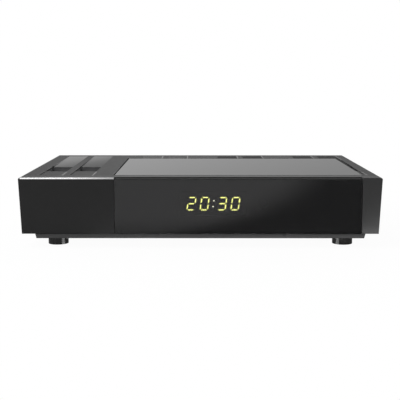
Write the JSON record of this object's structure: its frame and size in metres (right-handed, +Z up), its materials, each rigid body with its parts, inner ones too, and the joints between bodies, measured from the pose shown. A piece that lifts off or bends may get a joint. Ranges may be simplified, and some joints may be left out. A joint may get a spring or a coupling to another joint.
{
  "type": "satellite television receiver",
  "caption": "Low black set-top satellite receiver with a smoked window over a lit clock, a gloss top plate, recessed top channels, round feet and rear sockets.",
  "frame": {"origin": "on the ground under the middle of the receiver's box, rear sockets included", "axes": "+X to the right seen from the front, along the width; +Y towards the rear sockets; +Z up from the feet"},
  "size_m": [0.22, 0.1586, 0.043],
  "materials": {
    "satin_black": "satin moulded",
    "matte_black": "matte moulded",
    "bright_trim": "polished",
    "smoked_window": "polished, smoked",
    "grained_grey": "fine grain",
    "gloss_black": "high gloss",
    "foot_rubber": "matte",
    "screw_steel": "zinc plated",
    "panel_paint": "fine texture paint",
    "board_green": "solder mask",
    "chip_black": "moulded",
    "sink_aluminium": "natural",
    "tinned_steel": "tinned",
    "nickel": "nickel plated",
    "cream_plastic": "moulded",
    "socket_black": "moulded",
    "core_orange": "moulded",
    "switch_black": "moulded",
    "display_face": "moulded",
    "lit_green": "lit",
    "sleeve_blue": "shrink sleeve"
  },
  "bodies": {
    "receiver": {"front_frame": "satin_black", "left_fascia": "matte_black", "trim_strip": "bright_trim", "display_window": "smoked_window", "top_cover": "grained_grey", "top_plate": "gloss_black", "bottom_case": "satin_black", "rubber_feet": "foot_rubber", "foot_screws": "screw_steel", "case_screws": "screw_steel", "panel_screws": "screw_steel", "rear_panel": "panel_paint", "main_board": "board_green", "board_screws": "screw_steel", "processor": "chip_black", "heat_sink": "sink_aluminium", "memory_chips": "chip_black", "flash_chip": "chip_black", "crystal": "tinned_steel", "capacitors": "sleeve_blue", "inductors": "chip_black", "regulators": "chip_black", "board_connector": "cream_plastic", "tuner_can": "tinned_steel", "lnb_in_socket": "nickel", "lnb_out_socket": "nickel", "socket_insulators": "cream_plastic", "socket_nuts": "nickel", "socket_washers": "nickel", "video_socket": "tinned_steel", "video_tongue": "socket_black", "scart_socket": "socket_black", "coax_audio_socket": "nickel", "coax_audio_housing": "core_orange", "usb_socket": "tinned_steel", "usb_tongue": "cream_plastic", "ir_jack": "socket_black", "dc_jack": "socket_black", "dc_pin": "nickel", "switch_body": "switch_black", "display_board": "board_green", "display_board_screws": "screw_steel", "led_display": "display_face", "display_digits": "lit_green", "display_colon": "lit_green", "ir_receiver": "chip_black"},
    "rocker": {"switch_rocker": "switch_black"}
  },
  "joints": [
    {"name": "power_switch", "type": "hinge", "parent": "receiver", "child": "rocker", "pos_m": [-0.09, 0.06675, 0.0261], "axis": [1, 0, 0], "range_deg": [0, 20]}
  ]
}
